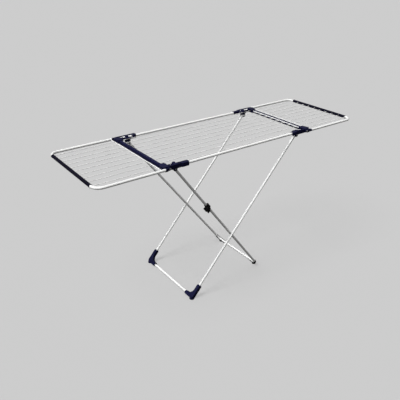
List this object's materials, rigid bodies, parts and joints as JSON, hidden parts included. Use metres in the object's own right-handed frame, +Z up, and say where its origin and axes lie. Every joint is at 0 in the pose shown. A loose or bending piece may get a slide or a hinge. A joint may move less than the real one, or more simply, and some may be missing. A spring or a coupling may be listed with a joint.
{
  "type": "clothes drying rack",
  "caption": "Freestanding winged clothes airer: wire drying field with two fold-over wings on a crossed pair of folding tube leg frames.",
  "frame": {"origin": "on the floor under the middle of the rack", "axes": "+Z up, +X along the rack to the right wing, +Y to the back rail"},
  "size_m": [1.8016, 0.565, 0.904],
  "materials": {
    "white_paint": "satin white powder coat on steel tube",
    "wire_white": "white coated drying wire",
    "navy_plastic": "fine moulded texture",
    "black_plastic": "moulded",
    "pin_steel": "zinc plated"
  },
  "bodies": {
    "top_frame": {"front_rail": "white_paint", "back_rail": "white_paint", "left_cross_tube": "white_paint", "right_cross_tube": "white_paint", "left_comb": "navy_plastic", "right_comb": "navy_plastic", "centre_wires": "wire_white", "left_front_bracket": "navy_plastic", "left_back_bracket": "navy_plastic", "right_front_bracket": "navy_plastic", "right_back_bracket": "navy_plastic", "bracket_screws": "pin_steel", "left_wing_pins": "pin_steel", "right_wing_pins": "pin_steel", "outer_leg_pins": "pin_steel", "inner_leg_pins": "pin_steel"},
    "left_wing": {"left_wing_tube": "white_paint", "left_wing_cover": "navy_plastic", "left_wing_rod": "wire_white", "left_wing_wires": "wire_white", "left_front_knuckle": "navy_plastic", "left_back_knuckle": "navy_plastic"},
    "right_wing": {"right_wing_tube": "white_paint", "right_wing_cover": "navy_plastic", "right_wing_rod": "wire_white", "right_wing_wires": "wire_white", "right_front_knuckle": "navy_plastic", "right_back_knuckle": "navy_plastic"},
    "outer_legs": {"outer_leg_frame": "white_paint", "outer_leg_plugs": "black_plastic", "front_foot": "navy_plastic", "back_foot": "navy_plastic"},
    "inner_legs": {"inner_leg_frame": "white_paint", "inner_leg_plugs": "black_plastic", "front_cap": "black_plastic", "back_cap": "black_plastic", "leg_clip": "black_plastic"}
  },
  "joints": [
    {"name": "left_wing_fold", "type": "hinge", "parent": "top_frame", "child": "left_wing", "pos_m": [-0.486, 0, 0.891], "axis": [0, 1, 0], "range_deg": [0, 160]},
    {"name": "right_wing_fold", "type": "hinge", "parent": "top_frame", "child": "right_wing", "pos_m": [0.486, 0, 0.891], "axis": [0, -1, 0], "range_deg": [0, 160]},
    {"name": "outer_leg_fold", "type": "hinge", "parent": "top_frame", "child": "outer_legs", "pos_m": [0.427, 0, 0.8715], "axis": [0, 1, 0], "range_deg": [0, 45.4]},
    {"name": "inner_leg_fold", "type": "hinge", "parent": "top_frame", "child": "inner_legs", "pos_m": [-0.44, 0, 0.8715], "axis": [0, -1, 0], "range_deg": [0, 51.71]}
  ],
  "couplings": [
    {"joint": "inner_leg_fold", "follows": "outer_leg_fold", "ratio": 1.1387}
  ]
}
